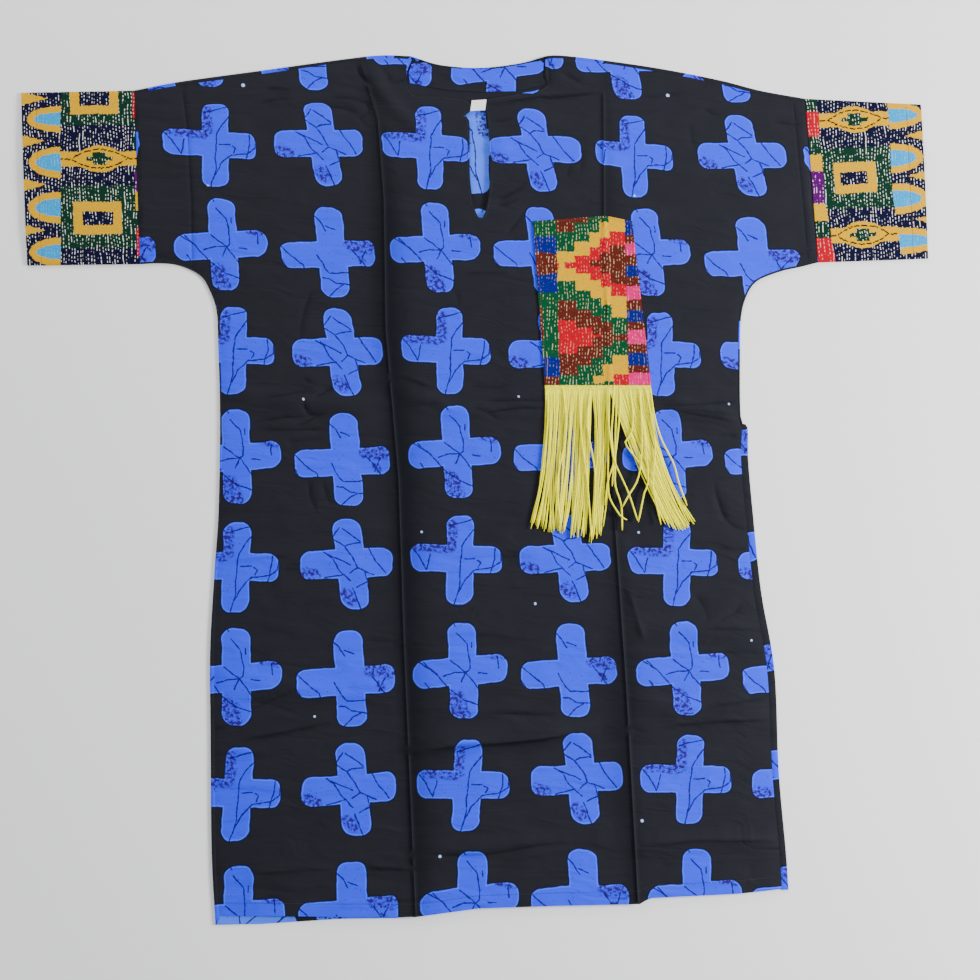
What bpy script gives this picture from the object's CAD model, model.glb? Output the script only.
import math
from collections import namedtuple
from functools import reduce

import bpy
import numpy as np
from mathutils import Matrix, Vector, noise
from mathutils.geometry import delaunay_2d_cdt


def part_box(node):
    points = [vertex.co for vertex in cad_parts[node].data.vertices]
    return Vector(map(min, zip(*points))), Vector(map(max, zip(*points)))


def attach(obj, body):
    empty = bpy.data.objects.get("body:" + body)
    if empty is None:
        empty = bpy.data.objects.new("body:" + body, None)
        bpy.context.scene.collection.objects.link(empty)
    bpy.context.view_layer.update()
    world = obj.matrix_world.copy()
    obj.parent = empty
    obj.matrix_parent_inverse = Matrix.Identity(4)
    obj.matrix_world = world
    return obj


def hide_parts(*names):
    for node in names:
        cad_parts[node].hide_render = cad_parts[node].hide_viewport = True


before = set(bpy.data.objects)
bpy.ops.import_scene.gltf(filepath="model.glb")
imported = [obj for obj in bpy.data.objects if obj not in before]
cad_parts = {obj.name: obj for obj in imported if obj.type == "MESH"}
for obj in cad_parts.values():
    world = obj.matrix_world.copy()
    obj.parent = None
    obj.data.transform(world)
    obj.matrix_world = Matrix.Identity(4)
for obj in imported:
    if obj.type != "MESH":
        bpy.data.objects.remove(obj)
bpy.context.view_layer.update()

# The camera looks down on the dress as it lies, a little from the hem's side.
# Its lens and tilt are the photograph's, and it aims at the middle of the body.
CAMERA_TILT = math.radians(6.57)
CAMERA_PLACE = (0.0245, -0.1977, 1.524)

camera = bpy.data.objects.new("camera", bpy.data.cameras.new("camera"))
camera.data.lens = 45
camera.data.sensor_width = 36
camera.location = CAMERA_PLACE
camera.rotation_euler = (CAMERA_TILT, 0, 0)
bpy.context.scene.collection.objects.link(camera)
bpy.context.scene.camera = camera


# The floor is a plain pale board, lit by soft studio lamps.
# The key lamp stands low beyond the right sleeve, so that the creases show.
SOFT_STEP = 0.6


class Tex:
    """A socket of a material. Operators add Math nodes, and node() adds any other node."""

    def __init__(self, tree, socket=None):
        self.tree = tree
        self.socket = socket

    def node(self, kind, settings=None, values=None, output=0):
        made = self.tree.nodes.new("ShaderNode" + kind)
        for name, value in (settings or {}).items():
            setattr(made, name, value)
        for name, value in (values or {}).items():
            if isinstance(value, Tex):
                self.tree.links.new(value.socket, made.inputs[name])
            else:
                made.inputs[name].default_value = value
        return Tex(self.tree, made.outputs[output])

    def maths(self, operation, *others, clamp=False):
        settings = {"operation": operation, "use_clamp": clamp}
        return self.node("Math", settings, dict(enumerate((self, *others))))

    def __add__(self, other):
        return self.maths("ADD", other)

    def __sub__(self, other):
        return self.maths("SUBTRACT", other)

    def __rsub__(self, other):
        return self.node("Math", {"operation": "SUBTRACT"}, {0: other, 1: self})

    def __mul__(self, other):
        return self.maths("MULTIPLY", other)

    def __truediv__(self, other):
        return self.maths("DIVIDE", other)

    def __abs__(self):
        return self.maths("ABSOLUTE")

    __radd__ = __add__
    __rmul__ = __mul__

    def lowest(self, other):
        return self.maths("MINIMUM", other)

    def highest(self, other):
        return self.maths("MAXIMUM", other)

    def below(self, limit, blur=SOFT_STEP):
        """1 where the value is below the limit and 0 above it, with a soft step."""
        return (limit - self).maths("MULTIPLY_ADD", 1 / blur, 0.5, clamp=True)

    def above(self, limit):
        return (self - limit).maths("MULTIPLY_ADD", 1 / SOFT_STEP, 0.5, clamp=True)

    def between(self, low, high, blur=SOFT_STEP):
        return self.below(high, blur) - self.below(low, blur)

    def vector(self, operation, *others, output=0):
        values = dict(enumerate((self, *others)))
        return self.node("VectorMath", {"operation": operation}, values, output)

    def parts(self, count=2):
        """The x and y of a vector, or its x, y and z."""
        made = self.node("SeparateXYZ", values={0: self}).socket.node
        return [Tex(self.tree, made.outputs[k]) for k in range(count)]

    def tint(self, under, over):
        """A colour that goes from under to over as this mask goes from 0 to 1."""
        settings = {"data_type": "RGBA"}
        values = {0: self, 6: as_colour(under), 7: as_colour(over)}
        return self.node("Mix", settings, values, output=2)


def as_colour(value):
    return value if isinstance(value, Tex) else (*value, 1)


def srgb(*colour):
    """A colour as it is seen, from 0 to 255, in the linear values that shaders take."""
    return tuple(((c / 255 + 0.055) / 1.055) ** 2.4 if c > 10 else c / 255 / 12.92 for c in colour)


def new_material(name, **surface):
    """A material, a Tex to build it with, and its Principled shader."""
    material = bpy.data.materials.new(name)
    material.use_nodes = True
    shader = material.node_tree.nodes["Principled BSDF"]
    for socket, value in surface.items():
        shader.inputs[socket.replace("_", " ")].default_value = value
    return material, Tex(material.node_tree), shader


def plug(shader, **links):
    """Joins what changes over the surface to the shader."""
    for socket, value in links.items():
        value.tree.links.new(value.socket, shader.inputs[socket.replace("_", " ")])


FLOOR_SIZE = 6.0
FLOOR_DROP = 0.0004

floor_mesh = bpy.data.meshes.new("floor")
half = FLOOR_SIZE / 2
floor_corners = [(-half, -half, 0), (half, -half, 0), (half, half, 0), (-half, half, 0)]
floor_mesh.from_pydata(floor_corners, [], [(0, 1, 2, 3)])
floor = bpy.data.objects.new("floor", floor_mesh)
floor.location.z = -FLOOR_DROP
bpy.context.scene.collection.objects.link(floor)
paper, t, shader = new_material("pale_board", Roughness=0.9)
grain = t.node("TexNoise", values={"Scale": 3.0, "Detail": 4.0})
plug(shader, Base_Color=grain.tint(srgb(244, 244, 244), srgb(250, 250, 250)))
floor_mesh.materials.append(paper)

SKY_COLOUR = (0.93, 0.95, 1.0, 1)
SKY_STRENGTH = 0.57
world = bpy.data.worlds.new("studio")
world.use_nodes = True
sky = world.node_tree.nodes["Background"].inputs
sky[0].default_value = SKY_COLOUR
sky[1].default_value = SKY_STRENGTH
bpy.context.scene.world = world

Lamp = namedtuple("Lamp", "name place size power")
LAMPS = [
    Lamp("key_lamp", (2.6, 0.0, 1.2), 0.9, 170),
    Lamp("top_lamp", (-0.4, 2.6, 1.1), 0.9, 44),
    Lamp("fill_lamp", (-1.4, 1.3, 2.0), 2.0, 12),
]
for lamp in LAMPS:
    light = bpy.data.lights.new(lamp.name, "AREA")
    light.shape = "DISK"
    light.size = lamp.size
    light.energy = lamp.power
    ob = bpy.data.objects.new(lamp.name, light)
    ob.location = lamp.place
    ob.rotation_euler = (-Vector(lamp.place)).to_track_quat("-Z", "Y").to_euler()
    bpy.context.scene.collection.objects.link(ob)


# The front panel is one piece of plain-weave cotton with the fronts of both sleeves.
# It is printed with blue crosses on charcoal, seamed to the back along shoulders and sides,
# and lies puffed up a little with the lines of its folding pressed in.
# Sizes are in millimetres on the table, as part.py has them.
MM = 0.001
CLOTH = 1.0
COTTON = 0.7
GAP = 0.3
FRONT_MIDDLE = CLOTH + GAP + CLOTH / 2
PUFF = 2.5
PUFF_REACH = 38.0
NEAR_SEAM = 12.0
OUTLINE_STEP = 6.0
CELL = 4.9
EDGE_CELL = 2.0
SHARP_EDGE = math.radians(50)

# The label's place on the table and in the frame gives the way from one to the other.
LABEL_CENTRE = (-15, 502)
label_low, label_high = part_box("size_label")
TO_ROW = (np.array(label_low) + np.array(label_high))[:2] / 2 / MM - LABEL_CENTRE

Edge = namedtuple("Edge", "x y wrap")
RIGHT_SIDE = [
    Edge(360, -485, 8), Edge(358, -438, 8), Edge(352, -343, 8), Edge(350, -223, 9),
    Edge(336, -125, 9), Edge(328, -25, 9), Edge(324, 40, 9), Edge(324, 80, 7),
    Edge(316, 93, 2), Edge(317, 178, 2), Edge(319, 219, 2), Edge(326, 247, 2),
    Edge(340, 268, 2), Edge(370, 281, 2), Edge(396, 287, 2), Edge(419, 293, 2),
]
RIGHT_SHOULDER = [
    Edge(409, 512, 4), Edge(351, 523, 5), Edge(299, 537, 5), Edge(221, 553, 5),
    Edge(143, 565, 4), Edge(91, 571, 4), Edge(73, 570, 4),
]
LEFT_SHOULDER = [
    Edge(-103, 570, 4), Edge(-143, 571, 4), Edge(-195, 565, 4),
    Edge(-299, 550, 5), Edge(-403, 535, 5), Edge(-462, 523, 4),
]
LEFT_SIDE = [
    Edge(-447, 291, 2), Edge(-421, 292, 2), Edge(-396, 289, 2), Edge(-370, 276, 2), Edge(-357, 256, 2),
    Edge(-348, 230, 2), Edge(-345, 191, 2), Edge(-340, 89, 2), Edge(-339, -25, 2), Edge(-342, -100, 3),
    Edge(-345, -198, 5), Edge(-342, -295, 5), Edge(-337, -438, 5), Edge(-330, -526, 5),
]
HemPoint = namedtuple("HemPoint", "x back front")
HEM = [
    HemPoint(-330, -526, -515),
    HemPoint(-276, -525, -515),
    HemPoint(-180, -519, -516),
    HemPoint(-88, -518, -516),
    HemPoint(-12, -508, -506),
    HemPoint(84, -505, -503),
    HemPoint(180, -503, -501),
    HemPoint(193, -496, -494),
    HemPoint(301, -491, -489),
    HemPoint(360, -485, -483),
]
# The front's neck edge from the right shoulder to the left one, round the slit.
NECK = [(72, 565), (72, 545), (70, 526), (25, 516), (-6, 509)]
SLIT = [(-4, 488), (0, 440), (-1, 388), (-6, 359), (-13, 350)]
SLIT += [(-21, 368), (-26, 410), (-27, 481), (-34, 486), (-25, 496)]
NECK_LEFT = [(-29, 509), (-61, 515), (-95, 516), (-105, 526), (-108, 547), (-102, 565)]

# Lines pressed into the cloth, and its two sides, which the grid of the panel follows.
# home is the line's place across the cloth before the dress leans on the floor.
Pressed = namedtuple("Pressed", "home path")
LEFT_SLEEVE_PRESS = [(-399, 516), (-392, 469), (-384, 375), (-381, 293)]
LEFT_FRONT_PRESS = [(-169, 564), (-145, 482), (-136, 375), (-132, 204), (-114, 13)]
LEFT_FRONT_PRESS += [(-106, -186), (-89, -518)]
RIGHT_FRONT_PRESS = [(147, 516), (146, 355), (155, -38), (167, -247), (178, -503)]
RIGHT_SLEEVE_PRESS = [(393, 505), (401, 375), (406, 293)]
PRESSED = [
    Pressed(-388, LEFT_SLEEVE_PRESS),
    Pressed(-345, [(-345, 516), (-345, -520)]),
    Pressed(-110, LEFT_FRONT_PRESS),
    Pressed(160, RIGHT_FRONT_PRESS),
    Pressed(350, [(350, 516), (350, -490)]),
    Pressed(400, RIGHT_SLEEVE_PRESS),
]
FAR = 1000
HOMES = [-FAR] + [line.home for line in PRESSED] + [FAR]

# The folds of the front. reach is half a fold's width, a sharp one has a pressed crest,
# and one with a negative height is a trough.
Fold = namedtuple("Fold", "height reach sharp path")
FOLDS = [
    Fold(1.6, 3.8, True, LEFT_FRONT_PRESS),
    Fold(1.7, 3.8, True, RIGHT_FRONT_PRESS),
    Fold(-0.9, 4, True, LEFT_SLEEVE_PRESS),
    Fold(-0.9, 4, True, RIGHT_SLEEVE_PRESS),
    Fold(3.0, 17, False, [(-335, 122), (-240, 112), (-140, 104)]),
    Fold(2.6, 16, False, [(-118, 128), (-40, 100), (60, 104)]),
    Fold(3.4, 16, False, [(215, 112), (316, 88)]),
    Fold(2.4, 18, False, [(190, -172), (335, -176)]),
    Fold(4.0, 17, False, [(-98, -318), (10, -302), (122, -292)]),
    Fold(2.6, 17, False, [(182, -268), (340, -272)]),
    Fold(2.8, 18, False, [(-90, -440), (86, -428)]),
    Fold(2.6, 17, False, [(185, -434), (345, -426)]),
    Fold(2.4, 20, False, [(-330, -240), (-200, -250), (-110, -246)]),
    Fold(3.0, 15, False, [(-158, 545), (-125, 500), (-92, 470)]),
    Fold(2.4, 16, False, [(4, 442), (52, 470)]),
]
# Smaller creases, with a sharp line along the middle. One with a negative height is pressed in.
Crease = namedtuple("Crease", "height reach path")
CREASE_ROWS = [
    (-2.3, 5, [(-173, 561), (-170, 545), (-161, 535), (-149, 524)]),
    (-1.6, 5, [(-164, 512), (-157, 493), (-168, 485), (-158, 471)]),
    (-1.6, 6, [(-301, 504), (-272, 511), (-257, 509)]),
    (-1.6, 6, [(-213, 512), (-188, 512), (-169, 509), (-158, 498)]),
    (-2.0, 9, [(-218, 501), (-191, 498), (-166, 490)]),
    (-1.4, 7, [(-222, 259), (-232, 241), (-238, 217), (-240, 189)]),
    (1.3, 7, [(-291, 527), (-273, 527), (-255, 523)]),
    (-1.1, 7, [(-442, 304), (-417, 300), (-388, 297)]),
    (-1.8, 5, [(-130, 531), (-117, 534), (-109, 537), (-103, 530)]),
    (-1.4, 5, [(-99, 553), (-81, 550), (-64, 542)]),
    (-1.4, 5, [(-143, 556), (-133, 545), (-129, 531)]),
    (-1.3, 6, [(-64, 516), (-47, 512), (-29, 508)]),
    (-1.3, 6, [(-57, 523), (-51, 534), (-48, 545)]),
    (1.8, 6, [(-3, 504), (17, 508), (36, 511), (73, 516), (101, 517), (143, 522)]),
    (-2.2, 6, [(77, 556), (78, 542), (73, 526)]),
    (-1.4, 6, [(92, 550), (103, 541), (120, 532)]),
    (-2.0, 7, [(61, 507), (79, 512), (112, 515), (143, 520)]),
    (-1.3, 5, [(-1, 480), (17, 481), (31, 485)]),
    (-1.8, 5, [(6, 378), (17, 378), (32, 386), (46, 395)]),
    (1.4, 5, [(10, 371), (22, 371), (39, 382)]),
    (-1.6, 5, [(19, 327), (32, 341), (41, 354), (51, 368)]),
    (0.9, 7, [(-33, 280), (-3, 281), (28, 280)]),
    (-0.9, 6, [(-47, 262), (-42, 249), (-39, 233)]),
    (-1.3, 9, [(107, 434), (103, 418), (99, 402)]),
    (-1.1, 9, [(121, 447), (119, 428), (116, 408)]),
    (-1.6, 5, [(-289, 118), (-264, 119), (-238, 124), (-221, 122)]),
    (-1.6, 5, [(-223, 115), (-208, 124), (-194, 133)]),
    (-1.3, 5, [(-236, 144), (-231, 139), (-225, 136)]),
    (-2.0, 5, [(-234, 117), (-233, 104), (-227, 96), (-205, 95)]),
    (-1.8, 5, [(-298, 87), (-278, 89), (-258, 92), (-220, 94)]),
    (-1.8, 5, [(-295, 76), (-265, 76), (-240, 76), (-200, 77)]),
    (-1.4, 5, [(-246, 80), (-230, 86), (-215, 96)]),
    (-1.1, 6, [(-257, 63), (-245, 61), (-207, 66)]),
    (-1.8, 6, [(-226, 13), (-224, -8), (-216, -28)]),
    (-1.3, 6, [(-209, 13), (-205, -3), (-198, -20)]),
    (1.8, 9, [(-130, 141), (-115, 146), (-100, 142), (-68, 130)]),
    (-1.3, 6, [(-111, 105), (-84, 108), (-59, 109)]),
    (-1.3, 6, [(-30, 132), (-10, 131), (9, 130), (25, 132)]),
    (-1.6, 6, [(-24, 104), (-9, 101), (10, 90)]),
    (-1.1, 6, [(-257, -97), (-247, -99), (-236, -99)]),
    (-2.0, 5, [(-13, 114), (9, 113), (42, 114), (73, 112)]),
    (-2.2, 6, [(-15, 98), (4, 99), (42, 104), (73, 103)]),
    (-1.6, 5, [(208, 107), (243, 107), (284, 110), (316, 112)]),
    (-2.0, 5, [(223, 103), (256, 96), (283, 91), (316, 84)]),
    (-1.3, 5, [(243, 103), (277, 98), (316, 94)]),
    (-1.1, 6, [(285, 68), (298, 70), (312, 68)]),
    (-2.0, 6, [(280, 18), (284, -9), (293, -35), (306, -46), (326, -51)]),
    (-1.1, 6, [(277, -74), (298, -73), (324, -74)]),
    (2.0, 8, [(170, -120), (177, -146), (183, -168), (191, -190)]),
    (-1.3, 9, [(250, -126), (265, -146), (270, -166)]),
    (-1.1, 8, [(279, -165), (304, -152), (313, -137)]),
    (-1.4, 6, [(257, -173), (284, -173), (303, -173), (339, -174)]),
    (-1.1, 6, [(277, -201), (308, -201), (341, -204)]),
    (4.1, 8, [(-105, -317), (-93, -321), (-72, -317), (-43, -313), (-12, -311), (20, -309), (66, -304),
              (122, -293)]),
    (1.8, 6, [(-310, -306), (-285, -302), (-252, -296), (-219, -289), (-187, -282)]),
    (1.1, 6, [(-342, -292), (-330, -289), (-318, -288)]),
    (0.9, 8, [(-344, -321), (-299, -322), (-263, -324)]),
    (-1.1, 7, [(-299, -274), (-267, -259), (-237, -247)]),
    (1.3, 7, [(-296, -464), (-256, -462), (-216, -459), (-185, -458)]),
    (2.0, 7, [(-152, -457), (-124, -457), (-93, -460)]),
    (-1.8, 5, [(-15, -276), (6, -275), (34, -276), (82, -277)]),
    (-1.1, 7, [(-158, -187), (-136, -187), (-111, -190)]),
    (-2.0, 6, [(-94, -442), (-48, -444), (-12, -443), (19, -439), (65, -431), (92, -429)]),
    (-1.1, 6, [(167, -295), (178, -296), (193, -296)]),
    (1.8, 6, [(209, -292), (239, -286), (287, -283), (346, -281)]),
    (1.4, 10, [(262, -265), (301, -260), (350, -252)]),
    (1.8, 7, [(183, -432), (207, -429), (246, -425), (298, -425), (356, -425)]),
    (-1.4, 6, [(364, 481), (384, 477), (406, 476)]),
    (1.4, 6, [(392, 302), (405, 310), (418, 313)]),
    (-1.1, 8, [(189, 513), (221, 515), (253, 519)]),
    (-1.3, 7, [(275, 498), (286, 492), (298, 486)]),
    (-1.1, 8, [(258, 477), (261, 461), (262, 443)]),
    (1.1, 9, [(188, 51), (207, 25), (215, -13)]),
    (1.1, 12, [(-323, -87), (-283, -83), (-236, -78)]),
    (-1.1, 10, [(-62, -87), (12, -83), (62, -87)]),
    (0.9, 12, [(-86, -186), (-25, -176), (62, -186)]),
]
CREASES = [Crease(*row) for row in CREASE_ROWS]
UNEVEN = 0.45
UNEVEN_REACH = 55.0
SEAM_DIP = 0.25
# The front lies nearly down on the back round the neck.
NECK_RIM = NECK + [(-29, 509)] + NECK_LEFT
NECK_PRESS = 0.65
NECK_REACH = 20.0
FRONT_LOWEST = 1.45

# How dark the cloth has gone on each side of a pressed line, and how far out, up the dress.
Worn = namedtuple("Worn", "y left left_reach right right_reach")
LEFT_WORN = [
    Worn(-518, 0.4, 6, 0.6, 18),
    Worn(-420, 0.6, 8, 0.8, 26),
    Worn(-320, 0.7, 9, 0.9, 28),
    Worn(-137, 0.8, 12, 0.95, 28),
    Worn(-12, 0.85, 14, 0.95, 28),
    Worn(90, 0.75, 12, 0.95, 28),
    Worn(213, 0.85, 20, 0.9, 26),
    Worn(343, 0.85, 20, 0.9, 22),
    Worn(480, 0.6, 12, 0.5, 14),
    Worn(560, 0.3, 8, 0.4, 10),
]
RIGHT_WORN = [
    Worn(-503, 0.45, 12, 0.15, 6),
    Worn(-455, 0.65, 16, 0.4, 9),
    Worn(-335, 0.7, 24, 0.35, 11),
    Worn(-263, 0.7, 26, 0.6, 18),
    Worn(-137, 0.55, 14, 0.55, 14),
    Worn(-62, 0.5, 6, 0.4, 8),
    Worn(340, 0.2, 4, 0.5, 14),
    Worn(400, 0.2, 4, 0.5, 14),
    Worn(516, 0.15, 4, 0.3, 8),
]
LEFT_SLEEVE_WORN = [Worn(293, 0.15, 3, 0.45, 5), Worn(516, 0.15, 3, 0.4, 5)]
RIGHT_SLEEVE_WORN = [Worn(293, 0.45, 4, 0.1, 3), Worn(505, 0.3, 4, 0.1, 3)]
# Half the width of a pressed line's own pale crest, and of the dark line along a crease.
PALE_CREST = 1.6
DARK_LINE = 1.8
BELOW_CREASE = 2.2


def smooth_path(points, step):
    """A Catmull-Rom curve through the points, with a point about every step."""
    pts = np.array(points, float)
    ends = np.vstack([2 * pts[0] - pts[1], pts, 2 * pts[-1] - pts[-2]])
    found = []
    for a, b, c, d in zip(ends, ends[1:], ends[2:], ends[3:]):
        count = max(1, round(np.linalg.norm(c[:2] - b[:2]) / step))
        for t in np.arange(count) / count:
            bend = (2 * a - 5 * b + 4 * c - d) * t**2 + (3 * b - a - 3 * c + d) * t**3
            found.append(0.5 * (2 * b + (c - a) * t + bend))
    found.append(pts[-1])
    return np.array(found)


def inward(path):
    """The way into the outline at each point of a path that runs anticlockwise."""
    along = np.gradient(path[:, :2], axis=0)
    along /= np.linalg.norm(along, axis=1)[:, None]
    return np.stack([-along[:, 1], along[:, 0]], axis=1)


def seam_end(corner, along):
    """Where a seam meets the cuff: its wrap away from the corner, along the cuff's edge."""
    y = corner.y + math.copysign(corner.wrap, along.y - corner.y)
    share = (y - corner.y) / (along.y - corner.y)
    return corner.x + share * (along.x - corner.x), y


def hem_at(x, panel):
    return x, np.interp(x, [p.x for p in HEM], [getattr(p, panel) for p in HEM])


def path_distance(x, y, path):
    """How far points lie from a path, and how far along it they are, from 0 to 1."""
    pts = np.array(path, float)
    lengths = np.linalg.norm(np.diff(pts, axis=0), axis=1)
    starts = np.concatenate([[0.0], np.cumsum(lengths)[:-1]])
    nearest = np.full(np.shape(x), np.inf)
    along = np.zeros(np.shape(x))
    for a, b, length, start in zip(pts, pts[1:], lengths, starts):
        ux, uy = (b - a) / length
        run = np.clip((x - a[0]) * ux + (y - a[1]) * uy, 0, length)
        apart = np.hypot(x - a[0] - run * ux, y - a[1] - run * uy)
        closer = apart < nearest
        nearest = np.where(closer, apart, nearest)
        along = np.where(closer, start + run, along)
    return nearest, along / lengths.sum()


def end_fade(along, quickness):
    """0 at both ends of a path and 1 along its middle."""
    return np.clip(np.minimum(along, 1 - along) * quickness, 0, 1)


def fold_height(x, y, fold):
    """A fold's rise above the cloth round it."""
    apart, along = path_distance(x, y, fold.path)
    across = np.clip(apart / fold.reach, 0, 1)
    if fold.sharp:
        return fold.height * (1 - across) ** 2
    return fold.height * (1 - across**2) ** 2 * (0.35 + 0.65 * end_fade(along, 5))


def crease_height(x, y, crease):
    """A crease's rise, which fades out at its ends and is uneven along it."""
    apart, along = path_distance(x, y, smooth_path(crease.path, 10))
    across = np.clip(apart / crease.reach, 0, 1)
    uneven = 0.75 + 0.25 * np.sin(along * 9 + crease.path[0][0])
    return crease.height * (1 - across) ** 1.6 * end_fade(along, 4) * uneven


def across_at(y, line):
    """How far across the dress a line that runs down it lies, at the height y."""
    xs, ys = zip(*sorted(line, key=lambda p: p[1]))
    return np.interp(y, ys, xs)


def to_floor(s, y):
    """Where the cloth's place s lies."""
    return np.interp(s, HOMES, [-FAR] + [across_at(y, line.path) for line in PRESSED] + [FAR])


sides = {
    "right": smooth_path(RIGHT_SIDE, OUTLINE_STEP),
    "right shoulder": smooth_path(RIGHT_SHOULDER, OUTLINE_STEP),
    "left shoulder": smooth_path(LEFT_SHOULDER, OUTLINE_STEP),
    "left": smooth_path(LEFT_SIDE, OUTLINE_STEP),
}
seams = {name: path[:, :2] + inward(path) * path[:, 2:] for name, path in sides.items()}
seams["right"][0] = hem_at(RIGHT_SIDE[0].x - RIGHT_SIDE[0].wrap, "front")
seams["right"][-1] = seam_end(RIGHT_SIDE[-1], RIGHT_SHOULDER[0])
seams["right shoulder"][0] = seam_end(RIGHT_SHOULDER[0], RIGHT_SIDE[-1])
seams["left shoulder"][-1] = seam_end(LEFT_SHOULDER[-1], LEFT_SIDE[0])
seams["left"][0] = seam_end(LEFT_SIDE[0], LEFT_SHOULDER[-1])
seams["left"][-1] = hem_at(LEFT_SIDE[-1].x + LEFT_SIDE[-1].wrap, "front")

neck_line = smooth_path(NECK + SLIT + NECK_LEFT, CELL)
hem_left = seams["left"][-1][0]
hem_right = seams["right"][0][0]
hem_xs = np.arange(hem_left + CELL, hem_right - CELL / 2, CELL)
front_outline = np.vstack(
    [
        seams["left"][-1:],
        [hem_at(x, "front") for x in hem_xs],
        seams["right"],
        seams["right shoulder"][:-1],
        neck_line,
        seams["left shoulder"][1:],
        seams["left"][:-1],
    ]
)


def cloth_noise(x, y, reach):
    """Slow unevenness of cloth that has been worn and folded, from -1 to 1."""
    return np.array([noise.noise((a / reach, b / reach, 0.0)) for a, b in zip(np.ravel(x), np.ravel(y))])


def front_height(x, y):
    """The height of the front's middle surface: puffed up between the seams, with its folds."""
    apart = np.min([path_distance(x, y, path)[0] for path in seams.values()], axis=0)
    puff = PUFF * (1 - np.exp(-apart / PUFF_REACH))
    puff *= 1 - NECK_PRESS * np.exp(-path_distance(x, y, NECK_RIM)[0] / NECK_REACH)
    folds = np.sum([fold_height(x, y, fold) for fold in FOLDS], axis=0)
    folds += np.sum([crease_height(x, y, crease) for crease in CREASES], axis=0)
    folds += UNEVEN * cloth_noise(x, y, UNEVEN_REACH)
    height = FRONT_MIDDLE + puff + folds * np.clip(apart / NEAR_SEAM, 0, 1) - SEAM_DIP * np.exp(-apart)
    return np.maximum(height, FRONT_LOWEST)


def gone_dark(x, y):
    """How dark the cloth has gone beside the pressed lines, from 0 to 1."""
    found = np.zeros(np.shape(x))
    for line, worn in (
        (LEFT_FRONT_PRESS, LEFT_WORN),
        (RIGHT_FRONT_PRESS, RIGHT_WORN),
        (LEFT_SLEEVE_PRESS, LEFT_SLEEVE_WORN),
        (RIGHT_SLEEVE_PRESS, RIGHT_SLEEVE_WORN),
    ):
        out = x - across_at(y, line)
        ys, *rows = zip(*worn)
        left, left_reach, right, right_reach = (np.interp(y, ys, row) for row in rows)
        strength = np.where(out < 0, left, right) * np.clip(abs(out) / PALE_CREST, 0, 1)
        reach = np.where(out < 0, left_reach, right_reach)
        found = np.maximum(found, strength * np.exp(-((out / reach) ** 2)))
    for crease in CREASES:
        # A crease that stands up is dark along its lower side.
        down = BELOW_CREASE if crease.height > 0 else 0
        apart, along = path_distance(x, y, smooth_path(crease.path, 10) - (0, down))
        strength = end_fade(along, 4) * min(0.85, 0.34 * abs(crease.height))
        found = np.maximum(found, strength * np.exp(-((apart / DARK_LINE) ** 2)))
    return found


def inside(x, y, ring):
    """Whether points lie inside a closed outline."""
    odd = np.zeros(np.shape(x), bool)
    for (ax, ay), (bx, by) in zip(ring, np.roll(ring, -1, axis=0)):
        if ay != by:
            crosses = (ay > y) != (by > y)
            odd ^= crosses & (x < (bx - ax) * (y - ay) / (by - ay) + ax)
    return odd


def fill(ring, grid):
    """The corners and triangles that fill an outline, on it and at the grid's points inside it."""
    x, y = grid.T
    apart = path_distance(x, y, np.vstack([ring, ring[:1]]))[0]
    grid = grid[inside(x, y, ring) & (apart > EDGE_CELL)]
    corners = [Vector(p) for p in np.vstack([ring, grid])]
    loop = [(i, (i + 1) % len(ring)) for i in range(len(ring))]
    places, _, faces = delaunay_2d_cdt(corners, loop, [], 1, 1e-4)[:3]
    return np.array([p[:] for p in places]), np.array([f for f in faces if len(f) == 3])


def grid_points(xs, ys):
    return np.array([(x, y) for y in ys for x in xs])


def make_piece(name, points, faces, places, material, map_name):
    """A piece on the table, with its map. Also tells which point is at each corner of its faces."""
    points = np.array(points, float)
    points[:, :2] += TO_ROW
    mesh = bpy.data.meshes.new(name)
    mesh.from_pydata(points * MM, [], faces)
    corner_of = np.zeros(len(mesh.loops), int)
    mesh.loops.foreach_get("vertex_index", corner_of)
    layer = mesh.uv_layers.new(name=map_name)
    layer.data.foreach_set("uv", np.ravel(np.array(places)[corner_of]))
    mesh.shade_smooth()
    mesh.materials.append(material)
    piece = bpy.data.objects.new(name, mesh)
    bpy.context.scene.collection.objects.link(piece)
    return piece, corner_of


def make_sheet(name, middle, faces, thickness, places, material, map_name, wear=None):
    """A cloth wall round its middle surface. places is where each point lies on the cloth's design,
    and wear is how worn dark and how pale each point is, on the upper side and then the lower one."""
    corners = middle[faces]
    across = np.cross(corners[:, 1] - corners[:, 0], corners[:, 2] - corners[:, 0])
    normals = np.zeros_like(middle)
    for k in range(3):
        np.add.at(normals, faces[:, k], across)
    normals /= np.linalg.norm(normals, axis=1)[:, None]
    count = len(middle)
    points = np.vstack([middle + normals * thickness / 2, middle - normals * thickness / 2])
    edges = np.vstack([np.stack(pair, axis=1) for pair in zip(faces.T, np.roll(faces.T, -1, axis=0))])
    once = ~np.isin(edges @ (count, 1), edges @ (1, count))
    a, b = edges[once].T
    walls = np.stack([a, a + count, b + count, b], axis=1)
    faces = faces.tolist() + (faces[:, ::-1] + count).tolist() + walls.tolist()
    piece, corner_of = make_piece(name, points, faces, np.vstack([places, places]), material, map_name)
    if wear is not None:
        layer = piece.data.uv_layers.new(name="wear")
        layer.data.foreach_set("uv", np.ravel(wear[corner_of]))
    piece.data.set_sharp_from_angle(angle=SHARP_EDGE)
    return piece


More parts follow.
